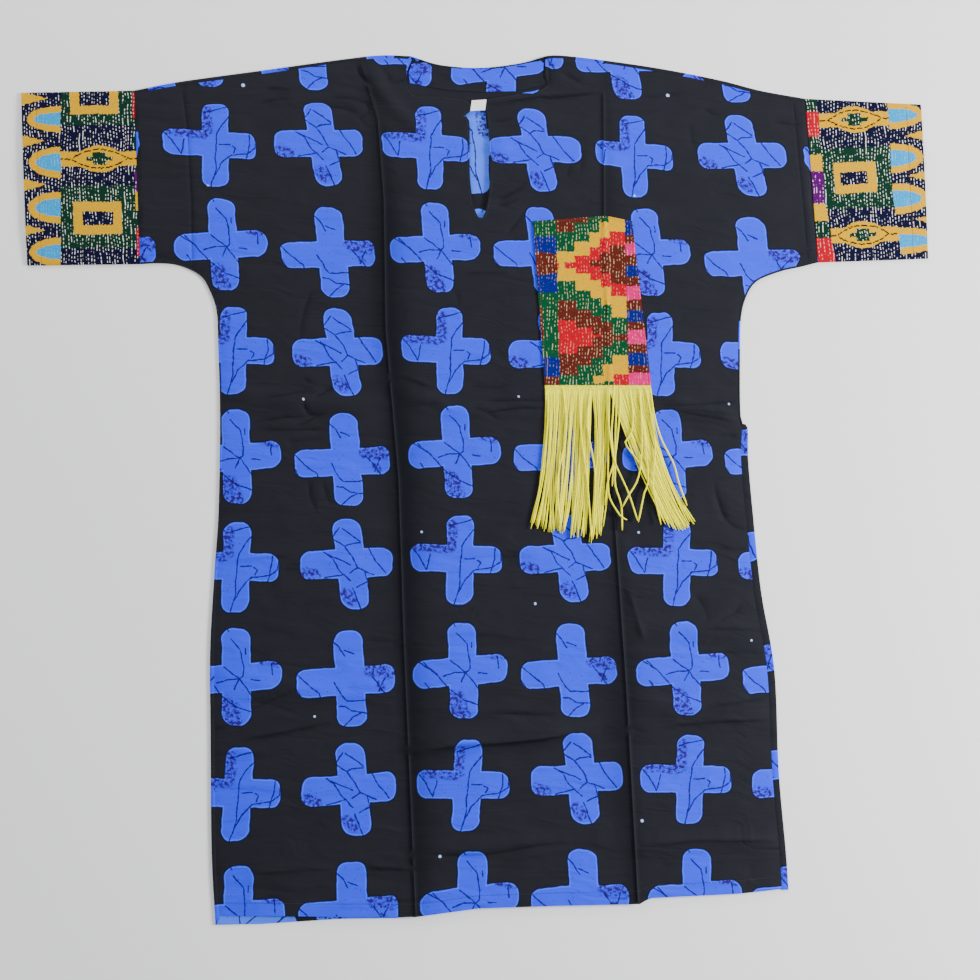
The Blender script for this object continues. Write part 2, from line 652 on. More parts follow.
# The print is a block of four crosses, drawn once here in millimetres from each cross's middle.
# Even and odd columns and rows take turns. Each cross is an upright and a level bar.
COLUMN_PITCH = 136.84
ROW_PITCH = 133.68
Bar = namedtuple("Bar", "x y lean half_length half_width corner")
Cross = namedtuple("Cross", "upright level veins crackle")
Crackle = namedtuple("Crackle", "start end reach")
CROSSES = {
    "even column, odd row": Cross(
        Bar(0.7, -4, 0.066, 55.3, 17.3, 13),
        Bar(-4, -3, -0.05, 56.6, 17.3, 12),
        [
            [(21, 34), (11, 22), (4, 12), (2, -2), (0, -20), (-1, -36), (-9, -60)],
            [(-3, -44), (6, -29), (19, -17), (40, -15), (51, -8), (52, 5)],
            [(45, 9), (44, -4), (38, -22)],
            [(22, -5), (26, -8), (23, -14)],
            [(6, -3), (19, -3)],
            [(-57, 11), (-50, 2), (-41, -16), (-36, 3)],
            [(-10, 38), (2, 41), (18, 45)],
        ],
        [Crackle((-50, 13), (-14, 9), 6), Crackle((-9, 12), (-7, 40), 6.5)],
    ),
    "odd column, odd row": Cross(
        Bar(4, -1.5, -0.076, 56, 18.2, 15),
        Bar(-1.7, -1.5, 0.034, 57.2, 18.0, 13),
        [
            [(-8, 43), (-17, 31)],
            [(-5, 42), (16, 26)],
            [(-17, 29), (-4, 20), (6, 7), (11, -6), (31, -15)],
            [(-3, 20), (2, 23), (16, 24)],
            [(-29, 13), (-19, 6), (-12, -8), (3, -23)],
            [(-24, 10), (3, -3)],
            [(-29, -19), (-5, -14)],
            [(11, -6), (2, -13)],
            [(20, -11), (23, -24), (27, -47)],
            [(23, -24), (10, -30)],
            [(5, -31), (15, -58)],
            [(25, 19), (33, 5), (46, -14)],
        ],
        [Crackle((-52, -13), (-42, -16), 8), Crackle((-4, -38), (3, -46), 7)],
    ),
    "even column, even row": Cross(
        Bar(0.2, 1, 0.004, 58.6, 18.0, 14),
        Bar(-3, -0.2, 0.062, 58.8, 17.4, 15),
        [
            [(-6, 47), (6, 33), (9, 12), (8, 1), (4, -2)],
            [(-15, 13), (4, -2), (20, -24)],
            [(4, -2), (-11, -2), (-24, -6)],
            [(4, -2), (-2, -14)],
            [(-54, 12), (-37, 2), (-17, -22), (0, -35), (19, -42)],
            [(-48, 12), (-37, 1)],
            [(19, -3), (29, -4)],
            [(12, 35), (12, 28)],
            [(-10, 58), (-8, 55)],
            [(-46, -13), (-42, -19)],
            [(43, 16), (44, 2)],
        ],
        [Crackle((-10, -34), (-4, -52), 11), Crackle((33, 20), (50, 17), 5.5)],
    ),
    "odd column, even row": Cross(
        Bar(-1.5, -1.5, -0.025, 58.4, 18.3, 14),
        Bar(-6.5, -4, 0.041, 59.6, 17.3, 12),
        [
            [(-64, 4), (-52, -8), (-39, -18), (-37, -23)],
            [(-67, -11), (-61, -21)],
            [(-21, 45), (-14, 38), (-7, 26)],
            [(-7, 33), (4, 28)],
            [(-20, -5), (-11, -23), (-6, -28), (19, -28)],
            [(-15, -34), (-8, -35), (1, -41), (17, -43)],
            [(-9, -58), (0, -49), (10, -43)],
            [(23, 3), (40, -19)],
            [(41, 0), (33, -16)],
        ],
        [Crackle((24, 9), (46, 6), 9), Crackle((34, -9), (37, -13), 4)],
    ),
}
# Small pale dots between the crosses, by column and row of the print, and how big they are.
Dot = namedtuple("Dot", "column row radius")
DOTS = [
    Dot(0.31, 0.40, 2.3), Dot(4.38, 0.36, 2.3), Dot(-0.09, 1.43, 1.5), Dot(3.97, 1.43, 1.4),
    Dot(2.64, 3.43, 1.4), Dot(0.65, 3.46, 1.4), Dot(4.61, 3.49, 1.3), Dot(1.67, 4.77, 1.4),
    Dot(3.67, 4.74, 1.5), Dot(2.69, 5.43, 1.5), Dot(4.62, 5.67, 1.4), Dot(0.67, 6.34, 1.4),
    Dot(3.56, 7.39, 1.9), Dot(1.72, 7.59, 1.8),
]
COTTON_SHINE = 0.14
INK_BLUE = srgb(36, 64, 255)
INK_BLUE_LIGHT = srgb(84, 120, 255)
INK_BLUE_DEEP = srgb(30, 56, 246)
INK_VEIN = srgb(18, 0, 74)
INK_CRACKLE = srgb(42, 6, 96)
WRONG_SIDE_BLUE = srgb(76, 122, 255)
CHARCOAL = srgb(31, 31, 38)
CHARCOAL_DEEP = srgb(23, 24, 31)
PRESSED_DARK = srgb(2, 5, 14)
INK_PALE = srgb(170, 196, 246)
OUTLINE_INK = srgb(10, 12, 28)


def print_cotton(name):
    """The printed cotton. Its map gives the column and row of the print at each place."""
    material, t, shader = new_material(name, Roughness=0.85)
    place = t.node("UVMap", {"uv_map": "print"})
    on_cloth = place.vector("MULTIPLY", (COLUMN_PITCH, ROW_PITCH, 0.0))
    wobble = t.node("TexNoise", values={"Vector": on_cloth, "Scale": 0.05, "Detail": 2.0}, output=1)
    wobble = wobble.vector("SUBTRACT", (0.5, 0.5, 0.5)).vector("MULTIPLY", (4.5, 4.5, 0.0))
    drawn = on_cloth.vector("ADD", wobble)
    column, row = drawn.vector("DIVIDE", (COLUMN_PITCH, ROW_PITCH, 1.0)).parts()
    nearest_column = (column + 0.5).maths("FLOOR")
    nearest_row = (row + 0.5).maths("FLOOR")
    odd_column = nearest_column.maths("FLOORED_MODULO", 2.0)
    odd_row = nearest_row.maths("FLOORED_MODULO", 2.0)
    x = (column - nearest_column) * COLUMN_PITCH
    y = (row - nearest_row) * -ROW_PITCH
    here = t.node("CombineXYZ", values={0: x, 1: y})

    def mixed(factor, even, odd):
        return t.node("Mix", {"data_type": "VECTOR"}, {0: factor, 4: even, 5: odd}, output=1)

    def pick(values):
        """The vector for this cross, out of those of the four crosses."""
        even, odd = (mixed(odd_column, values[k], values[k + 1]) for k in (2, 0))
        return mixed(odd_row, even, odd)

    def bar_edge(bars, along, across):
        """How far a place is outside the edge of a bar with round corners."""
        middle = pick([(bar.x, bar.y, bar.lean) for bar in bars])
        size = pick([(bar.half_length, bar.half_width, bar.corner) for bar in bars])
        bar_x, bar_y, lean = middle.parts(3)
        half_length, half_width, corner = size.parts(3)
        here_on = {"x": x - bar_x, "y": y - bar_y}
        long_way = abs(here_on[along]) - half_length + corner
        short_way = abs(here_on[across] - lean * here_on[along]) - half_width + corner
        outer = long_way.highest(0.0).maths("POWER", 2.0) + short_way.highest(0.0).maths("POWER", 2.0)
        return outer.maths("SQRT") + long_way.highest(short_way).lowest(0.0) - corner

    crosses = list(CROSSES.values())
    upright = bar_edge([cross.upright for cross in crosses], "y", "x")
    level = bar_edge([cross.level for cross in crosses], "x", "y")
    edge = upright.maths("SMOOTH_MIN", level, 1.5)

    def segment_distance(starts, ends):
        """How far a place is from one line of each cross."""
        start = pick([(*p, 0.0) for p in starts])
        run = pick([(b[0] - a[0], b[1] - a[1], 0.0) for a, b in zip(starts, ends)])
        gone = here.vector("SUBTRACT", start)
        share = gone.vector("DOT_PRODUCT", run, output=1) / run.vector("DOT_PRODUCT", run, output=1)
        share = share.maths("ADD", 0.0, clamp=True)
        return gone.vector("SUBTRACT", run.vector("MULTIPLY", share)).vector("LENGTH", output=1)

    lines = [[seg for vein in cross.veins for seg in zip(vein, vein[1:])] for cross in crosses]
    longest = max(len(found) for found in lines)
    together = [[found[k % len(found)] for found in lines] for k in range(longest)]
    vein = reduce(Tex.lowest, (segment_distance(*zip(*one_of_each)) for one_of_each in together))

    def crackle_distance(zones):
        """How far a place is outside one speckled corner of each cross."""
        reach = pick([(zone.reach, 0.0, 0.0) for zone in zones]).parts()[0]
        return segment_distance([zone.start for zone in zones], [zone.end for zone in zones]) - reach

    corners = zip(*(cross.crackle for cross in crosses))
    crackled = reduce(Tex.lowest, map(crackle_distance, corners))

    broken = t.node("TexNoise", values={"Vector": drawn, "Scale": 0.24, "Detail": 1.5})
    blots = (0.53 - broken).below(0.0, 0.03)
    cracks = blots.highest(abs(broken - 0.46).below(0.016, 0.02)) * crackled.below(0.0, 3.0)
    specks = t.node("TexVoronoi", values={"Vector": on_cloth, "Scale": 0.17, "Randomness": 1.0})
    specks = specks.below(0.085, 0.06)
    ink_lines = (vein - (broken - 0.5) * 1.8).below(0.78, 0.5)
    blue = edge.below(0.0, 0.7)
    rim = edge.between(-2.0, -0.9, 1.0)
    dark_edge = edge.between(-0.6, 1.1, 0.8)
    cloudy = t.node("TexNoise", values={"Vector": on_cloth, "Scale": 0.03, "Detail": 3.0})

    def dot_distance(dot):
        middle = (dot.column * COLUMN_PITCH, dot.row * ROW_PITCH, 0.0)
        return on_cloth.vector("DISTANCE", middle, output=1) - dot.radius

    dots = reduce(Tex.lowest, map(dot_distance, DOTS)).below(0.0, 0.8)

    pressed, pale = t.node("UVMap", {"uv_map": "wear"}).parts()
    ink = cloudy.tint(INK_BLUE_DEEP, INK_BLUE)
    ink = (pale * 0.8).tint(ink, WRONG_SIDE_BLUE)
    ink = (rim * 0.7).tint(ink, INK_BLUE_LIGHT)
    ink = (cracks * 0.95).tint(ink, INK_CRACKLE)
    ink = (ink_lines.highest(specks) * 0.92).tint(ink, INK_VEIN)
    ink = (pressed * 0.4).tint(ink, PRESSED_DARK)
    ink = dots.tint(ink, INK_PALE)
    ground = cloudy.tint(CHARCOAL_DEEP, CHARCOAL)
    ground = (pressed * 0.9).tint(ground, PRESSED_DARK)
    ground = dots.tint(ground, INK_PALE)
    warp, weft = on_cloth.parts()
    threads = (warp * 12.0).maths("SINE") + (weft * 12.0).maths("SINE")
    stretched = on_cloth.vector("MULTIPLY", (0.012, 0.042, 0.0))
    creased = {"Vector": stretched, "Scale": 1.0, "Detail": 3.0, "Distortion": 0.6}
    wrinkles = t.node("TexNoise", values=creased)
    wrinkled = t.node("Bump", values={"Strength": 1.0, "Distance": 0.0035, "Height": wrinkles})
    fine = {"Strength": 0.35, "Distance": 0.00006, "Height": threads + broken * 1.5, "Normal": wrinkled}
    bump = t.node("Bump", values=fine)
    plug(shader, Base_Color=(dark_edge * 0.85).tint(ground, OUTLINE_INK), Normal=bump)
    printed = t.tree.nodes.new("ShaderNodeBsdfPrincipled")
    plug(printed, Base_Color=(dark_edge * 0.85).tint(ink, OUTLINE_INK), Normal=bump)
    printed.inputs["Roughness"].default_value = 0.75
    for surface in (shader, printed):
        surface.inputs["Specular IOR Level"].default_value = COTTON_SHINE
    both = {0: blue, 1: Tex(t.tree, shader.outputs[0]), 2: Tex(t.tree, printed.outputs[0])}
    t.tree.links.new(t.node("MixShader", values=both).socket, t.tree.nodes["Material Output"].inputs[0])
    return material


def ramp(value, start, end):
    """0 at the start and before it, and 1 at the end and beyond it."""
    return np.clip((value - start) / (end - start), 0, 1)


# How far the print has slipped down along the hem, by place across the dress, and where it starts.
HEM_SLIP = [(-316, 13), (-179, 12), (-42, 10.5), (95, 10), (232, 19), (369, 21)]
SLIP_STARTS = [(-316, -433), (369, -406)]
# How far each cross has been pulled right and up from the even print, as the cloth lies.
# Rows run from the shoulders down, and columns from the left sleeve to the right side.
FIRST_COLUMN = -1
FIRST_ROW = 1
BEND_ROUNDS = 12
PULL_ROUNDS = 4
PULLED_RIGHT = [
    [-4, 0, -3, 0, 0, -8, 0],
    [1, 2, 3, -1, 0, -2.5, 0],
    [0, 6, 2, 4, 0, 0, 0],
    [0, 5, 5, 5, 5, 1, 0],
    [0, 0, 0, 1, -2, -1, 0],
    [0, -2, 0, -0.5, 0, 2, 3],
    [0, -2, -3.5, 0, 0, 0, 0],
    [0, 0, 0, 5, 5, 5, 0],
]
PULLED_UP = [
    [0, -0.5, 2, 2.5, 0.5, -2, 0],
    [-5, 0, -6, 0, 0, -2, -9],
    [0, 4.5, 0.5, 5, 0, 2, 0],
    [0, 1, -2, 5, 4, 0.5, -2.5],
    [0, 3.5, 3, 9, 6, 1, -6],
    [0, 0, -3.5, 1, 0, -4, -14],
    [0, 0, -2, 0, 1, -3, -13],
    [0, -1, 0, 2.5, 2.5, 3, 0],
]


def stepped(value):
    """Whole numbers over each cross, with ramps in the gaps between the crosses."""
    whole = np.floor(value + 0.5)
    part = value - whole
    return whole + 0.5 * ramp(part, 0.44, 0.5) - 0.5 * ramp(part, -0.44, -0.5)


def pulled(table, column, row):
    """How far the print has been pulled at each place."""
    table = np.array(table, float)
    down = np.clip(stepped(row) - FIRST_ROW, 0, len(table) - 1.001)
    over = np.clip(stepped(column) - FIRST_COLUMN, 0, len(table[0]) - 1.001)
    i = down.astype(int)
    j = over.astype(int)
    upper = table[i, j] + (table[i, j + 1] - table[i, j]) * (over - j)
    lower = table[i + 1, j] + (table[i + 1, j + 1] - table[i + 1, j]) * (over - j)
    return upper + (lower - upper) * (down - i)


def print_place(x, y):
    """The print's column and row on the front, whose rows bend a little as the cloth lies."""
    # The sleeve ends are pulled wide, a tuck by the right pressed line hides a strip,
    # and the edge along the shoulders lies a little higher than the rest.
    on_sleeve = ramp(y, 285, 300)
    off_neck = 1 - ramp(x, -100, -88) * ramp(x, 80, 68)
    at_shoulder = ramp(y, 500, 514) * off_neck
    by_neck = ramp(x, -175, -155) * ramp(x, -85, -105)
    tucked = 11 * ramp(x, 95, 135) * (x < 146.3) * ramp(y, 385, 400) * ramp(y, 500, 485)
    sleeve_end = 0.07 + 0.04 * ramp(y, 360, 340)
    across = x - sleeve_end * np.maximum(0, x - 320) * on_sleeve - tucked
    across = across + 0.125 * np.maximum(0, -380 - x) * ramp(y, 370, 390)
    across = across - 5 * at_shoulder * ramp(x, 150, 170)
    slip = np.interp(x, *zip(*HEM_SLIP))
    slip_start = np.interp(x, *zip(*SLIP_STARTS))
    up = np.maximum(y, np.minimum(slip_start, y + slip)) + (5 + 3 * by_neck) * at_shoulder
    column = np.zeros(np.shape(x))
    row = np.zeros(np.shape(x))
    # Columns and rows bend with each other, so each round brings them closer to their place.
    for _ in range(BEND_ROUNDS):
        column = (across + 42.2 - 7.55 * row + 0.84 * row**2 + 0.78 * column**2) / COLUMN_PITCH
        row = -(up + 24.9 - 1.4 * column - 1.41 * column * row - 0.26 * row**2) / ROW_PITCH
    column = even_column = column + 2
    row = even_row = row + 4.5
    for _ in range(PULL_ROUNDS):
        right = pulled(PULLED_RIGHT, column, row)
        lifted = pulled(PULLED_UP, column, row)
        column = even_column - right / COLUMN_PITCH
        row = even_row + lifted / ROW_PITCH
    return np.stack([column, row], axis=-1)


def both_sides(upper, lower):
    """The wear map of a sheet: how dark and how pale it is on its upper and lower sides."""
    return np.vstack([np.column_stack(np.broadcast_arrays(*side)) for side in (upper, lower)])


# The grid of the front follows its pressed lines and creases with points on them and beside them.
BESIDE_PRESS = (-6, -3.2, -1.2, 0, 1.2, 3.2, 6)
BESIDE_CREASE = (-2.2, 0, 2.2)
CLEAR_OF_PRESS = 7
CLEAR_OF_CREASE = 3.6


def along_crease(crease):
    """Points beside a crease and on it."""
    path = smooth_path(crease.path, 4)
    return np.vstack([path + inward(path) * side for side in BESIDE_CREASE])


cotton = print_cotton("printed_cotton")
levels = np.arange(HEM[0].front + CELL / 2, RIGHT_SHOULDER[-2].y, CELL)
homes = [HOMES[i] for i in (1, 3, 4, 6)]
stations = set(np.arange(-462, 440, CELL))
stations = {s for s in stations if min(abs(s - home) for home in homes) > CLEAR_OF_PRESS}
stations |= {home + beside for home in homes for beside in BESIDE_PRESS}
front_grid = np.array([(to_floor(s, y), y) for y in levels for s in sorted(stations)])
by_crease = [path_distance(*front_grid.T, smooth_path(crease.path, 10))[0] for crease in CREASES]
front_grid = front_grid[np.min(by_crease, axis=0) > CLEAR_OF_CREASE]
front_grid = np.vstack([front_grid] + [along_crease(crease) for crease in CREASES])
front_places, front_faces = fill(front_outline, front_grid)
front_middle = np.column_stack([front_places, front_height(*front_places.T)])
front_map = print_place(*front_places.T)
front_dark = gone_dark(*front_places.T)
front_wear = both_sides((front_dark, 0), (front_dark, 1))
front = make_sheet("front", front_middle, front_faces, COTTON, front_map, cotton, "print", front_wear)
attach(front, "root")
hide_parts("front_panel")


# The back panel is the same cotton, cut in one with the backs of the sleeves.
# It lies on the floor, right side down, and comes round to the front along shoulders and sides.
BACK_MIDDLE = CLOTH / 2
BACK_NECK = [(73, 570), (39, 560), (-13, 554), (-65, 558), (-103, 570)]
# How far in from the fold and how high the back lies, from under the fold to over it.
TURN = [(1.2, 0.5), (0.55, 0.62), (0.35, 1.15), (0.55, 1.68), (1.2, 1.8)]
# How far over to the seam and how high it lies on the front.
WRAP = [(0.75, 1.95), (1.0, 1.65)]
NECK_TURN = 1.6
BACK_CELL = 9.0
# The back's folds fade out from here to here beside its edges.
BACK_FLAT = (14, 34)
BACK_FOLDS = [
    Fold(1.7, 11, False, LEFT_FRONT_PRESS[1:]),
    Fold(1.8, 11, False, RIGHT_FRONT_PRESS[1:]),
    Fold(1.2, 9, False, LEFT_SLEEVE_PRESS),
    Fold(1.2, 9, False, RIGHT_SLEEVE_PRESS),
    Fold(1.2, 10, False, [(-310, 126), (-220, 112), (-130, 120)]),
    Fold(1.0, 9, False, [(-100, 104), (-10, 92), (60, 108)]),
    Fold(1.1, 10, False, [(190, 96), (290, 84)]),
    Fold(1.0, 10, False, [(-95, -310), (0, -296), (110, -300)]),
    Fold(1.0, 10, False, [(186, -270), (300, -276)]),
    Fold(0.9, 9, False, [(-300, -180), (-200, -186), (-120, -176)]),
    Fold(0.9, 9, False, [(-80, -436), (70, -424)]),
    Fold(1.0, 10, False, [(190, -420), (320, -430)]),
    Fold(0.9, 10, False, [(-60, 330), (20, 300), (110, 318)]),
    Fold(0.8, 9, False, [(-270, 380), (-200, 350), (-160, 300)]),
    Fold(0.8, 9, False, [(200, 420), (260, 380), (300, 300)]),
]


def back_height(x, y):
    """The back lies flat on the floor, but for a few creases that stand off it."""
    apart = np.min([path_distance(x, y, path[:, :2])[0] for path in sides.values()], axis=0)
    folds = np.sum([fold_height(x, y, fold) for fold in BACK_FOLDS], axis=0)
    return BACK_MIDDLE + folds * ramp(apart, *BACK_FLAT)


def back_print_place(x, y, turned=0):
    """The back's print is seen from behind, so its columns run the other way.
    turned is 1 where the cloth comes round to the front."""
    # Along the shoulders, inside the slit and up the right side the print lies shifted.
    at_shoulder = ramp(y, 480, 495) * ramp(abs(x + 15), 75, 95)
    far_left = ramp(x, -362, -372)
    right_shoulder = ramp(x, 215, 235) * ramp(x, 330, 300)
    far_right = ramp(x, 330, 350)
    slit = ramp(y, 378, 388) * ramp(y, 506, 500)
    up = y + at_shoulder * (30 * far_right + 8 * right_shoulder - 10)
    beside_neck = ramp(x, -194, -186) * ramp(x, -70, -90)
    up = up - 10 * at_shoulder * beside_neck
    up = up + 4.5 * ramp(y, 420, 390) - 7 * slit * ramp(y, 420, 445) + 5 * ramp(y, 378, 370)
    under_sleeve = turned * ramp(y, 305, 297) * ramp(y, 235, 247) * ramp(abs(x), 318, 326)
    up = up + under_sleeve * np.where(x < 0, 62, -25)
    side = turned * ramp(y, 235, 225)
    right_edge = side * ramp(x, 312, 320)
    up = up - right_edge * (14 + 3 * ramp(y, 0, -60) + 4 * ramp(y, -200, -280))
    across = x - 12 * at_shoulder * (1 - 0.9 * far_left)
    across = across - 3 * at_shoulder * right_shoulder + 30 * right_edge * ramp(y, -110, -40)
    column = 2 - (across + 19) / COLUMN_PITCH
    row = 1 - (up - 449 - 0.05 * (x + 21.5)) / 136
    # On the left side the print of the two panels meets at the seam.
    matched = (turned * (x < -300) * (y < 235) > 0)[..., None]
    return np.where(matched, print_place(x, y), np.stack([column, row], axis=-1))


def grid_faces(rows):
    """The triangles of a grid, from the numbers of its corners."""
    a, b, c, d = rows[:-1, :-1], rows[:-1, 1:], rows[1:, 1:], rows[1:, :-1]
    halves = [np.stack([a, b, c], axis=-1), np.stack([a, c, d], axis=-1)]
    return np.vstack([half.reshape(-1, 3) for half in halves])


def straight_path(points, step):
    """Points about every step along straight lines."""
    pts = np.array(points, float)
    found = []
    for a, b in zip(pts, pts[1:]):
        count = max(1, round(np.linalg.norm(b - a) / step))
        found += [a + (b - a) * i / count for i in range(count)]
    return np.array(found + [pts[-1]])


neck_edge = smooth_path(BACK_NECK, OUTLINE_STEP)
folded = {name: path[:, :2] for name, path in sides.items()}
folded["neck"] = neck_edge
wrapped_to = {**seams, "neck": neck_edge + inward(neck_edge) * NECK_TURN}
back_hem = np.array([hem_at(x, "back") for x in np.arange(-330, 360, BACK_CELL)] + [(360, -485)])
# The back's hem shows below the front's only on the left.
back_hem[:, 1] += 2.4 * ramp(back_hem[:, 0], -112, -92) * ramp(back_hem[:, 0], 360, 345)
ROUND_THE_BACK = ("right", "right shoulder", "neck", "left shoulder", "left")
folds_in = [folded[name] + inward(folded[name]) * TURN[0][0] for name in ROUND_THE_BACK]
back_ring = np.vstack([back_hem[1:-1], *folds_in])
back_grid = grid_points(np.arange(-455, 420, BACK_CELL), np.arange(-520, 570, BACK_CELL))
back_places, back_faces = fill(back_ring, back_grid)
back_points = [np.column_stack([back_places, back_height(*back_places.T)])]
back_faces = [back_faces]
back_uvs = [back_print_place(*back_places.T)]
first = len(back_hem) - 2
made = len(back_places)
for name in ROUND_THE_BACK:
    edge_line = folded[name]
    into = inward(edge_line)
    to_seam = wrapped_to[name] - edge_line
    begin = edge_line + into * TURN[-1][0]
    # The turned edge from under the fold to over it, then the wrap in to the seam.
    levels = []
    for depth, z in TURN[1:]:
        levels.append((edge_line + into * depth, z, edge_line - into * (z - BACK_MIDDLE)))
    for share, z in WRAP:
        place = begin + (wrapped_to[name] - begin) * share
        levels.append((place, z, edge_line - to_seam * share))
    rows = [np.arange(first, first + len(edge_line))]
    first += len(edge_line)
    for place, z, unrolled in levels:
        rows.append(np.arange(made, made + len(edge_line)))
        made += len(edge_line)
        back_points.append(np.column_stack([place, np.full(len(edge_line), z)]))
        back_uvs.append(back_print_place(*unrolled.T, 1))
    back_faces.append(grid_faces(np.array(rows)))
back_middle = np.vstack(back_points)
wrong_side = np.zeros(len(back_middle))
wrong_side[: len(back_places)] = 1
back_wear = both_sides((0, wrong_side), (0, 0 * wrong_side))
back_map = np.vstack(back_uvs)
back_faces = np.vstack(back_faces)
back = make_sheet("back", back_middle, back_faces, COTTON, back_map, cotton, "print", back_wear)
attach(back, "root")
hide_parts("back_panel")


# The neck facing is a strip of the cotton turned in along the back neck, right side up.
FACING = [(-104, 533), (-60, 524), (-13, 521), (33, 522), (68, 530), (70, 560), (66, 563.5)]
FACING += [(39, 558.5), (-13, 552.5), (-65, 556.5), (-97, 563), (-102, 561), (-106, 546), (-104, 533)]
# How far the facing's lower edge lies below the turned edge at the neck.
FACING_HANGS = 0.45
FACING_THICKNESS = 0.3
FACING_CREASES = [
    Fold(0.7, 5, False, [(-65, 548), (-52, 544), (-38, 541), (-29, 534)]),
    Fold(0.5, 5, False, [(20, 528), (34, 534), (58, 540)]),
    Fold(0.4, 5, False, [(-96, 548), (-80, 540), (-66, 528)]),
]


def facing_print_place(x, y):
    column = 2 + (x - 15) / 148
    row = (556 + 0.095 * (x - 15) - y) / ROW_PITCH
    return np.stack([column, row], axis=-1)


facing_ring = straight_path(FACING, 4)[:-1]
facing_grid = grid_points(np.arange(-104, 70, 4), np.arange(520, 565, 4))
facing_places, facing_faces = fill(facing_ring, facing_grid)
rise = np.sum([fold_height(*facing_places.T, fold) for fold in FACING_CREASES], axis=0)
low = FACING_HANGS * ramp(facing_places[:, 1], 556, 530)
facing_middle = np.column_stack([facing_places, FRONT_MIDDLE + rise - low])
facing_map = facing_print_place(*facing_places.T)
none = np.zeros(len(facing_places))
facing_wear = both_sides((none, 0), (none, 1))
facing = make_sheet(
    "facing", facing_middle, facing_faces, FACING_THICKNESS, facing_map, cotton, "print", facing_wear
)
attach(facing, "root")
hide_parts("neck_facing")


# The cuffs are folded bands of dense strip-woven cotton, sewn on round the sleeve ends.
# Each lies as a flattened tube, a little fuller at its mouth.
STRIP_CLOTH = 0.9
Cuff = namedtuple("Cuff", "node seam_top seam_bottom mouth_top mouth_bottom")
CUFFS = [
    Cuff("cuff_left", (-462.3, 523), (-447.3, 291), (-609, 520), (-591, 289)),
    Cuff("cuff_right", (409.3, 512), (419.3, 293), (559, 504), (560, 298)),
]
CUFF_PUFF_AT_SEAM = 0.8
CUFF_PUFF_AT_MOUTH = 2.2
CUFF_STEPS_ROUND = 46
CUFF_STEPS_OUT = 30
CUFF_TURN = (math.pi / 4, math.pi / 2, 3 * math.pi / 4)
CUFF_SIZE = 145.0
HEM_STITCHES_AT = 0.87

YARN = {
    "yellow": (srgb(236, 178, 0), 0.0),
    "navy": (srgb(18, 18, 50), 1.0),
    "green": (srgb(14, 54, 36), 0.95),
    "sky": (srgb(0, 168, 236), 0.2),
    "red": (srgb(200, 0, 32), 0.45),
    "purple": (srgb(92, 0, 104), 0.75),
    "leaf": (srgb(6, 80, 46), 0.75),
    "royal": (srgb(10, 28, 128), 0.3),
    "brown": (srgb(98, 36, 24), 0.75),
    "pink": (srgb(238, 12, 122), 0.4),
}
Floats = namedtuple("Floats", "colour tint dash_pitch")
CUFF_FLOATS = Floats(srgb(252, 250, 240), 0.12, 5.2)
POCKET_FLOATS = Floats(srgb(250, 232, 178), 0.34, 5.4)
FLOAT_PITCH = 3.7
WARP_PITCH = 2.3
WEFT_PITCH = 2.0
YARN_SHINE = 0.02
EYE_LINE = srgb(48, 14, 22)


class Weave:
    """Strip cloth as it is woven: a colour, and how many pale floats lie over it."""

    def __init__(self, colour, floats):
        self.colour = colour
        self.floats = floats

    def over(self, mask, other):
        """This weave, with another where the mask is 1."""
        floats = mask.node("Mix", values={0: mask, 2: self.floats, 3: other.floats})
        return Weave(mask.tint(self.colour, other.colour), floats)


def yarn(name):
    colour, floats = YARN[name]
    return Weave(colour, floats)


def bands(along, length, blocks):
    """Blocks of colour one after another: yarns, and between two of them the second one's start."""
    words = blocks.split()
    starts = [0.0] + [float(word) / length for word in words[1::2]]
    share = along / length
    made = share.node("ValToRGB", values={0: share}).socket.node
    made.color_ramp.interpolation = "CONSTANT"
    stops = made.color_ramp.elements
    for start in starts[1:-1]:
        stops.new(start)
    for stop, start, name in zip(stops, starts, words[::2]):
        colour, floats = YARN[name]
        stop.position = start
        stop.color = (*colour, floats)
    return Weave(Tex(along.tree, made.outputs[0]), Tex(along.tree, made.outputs[1]))


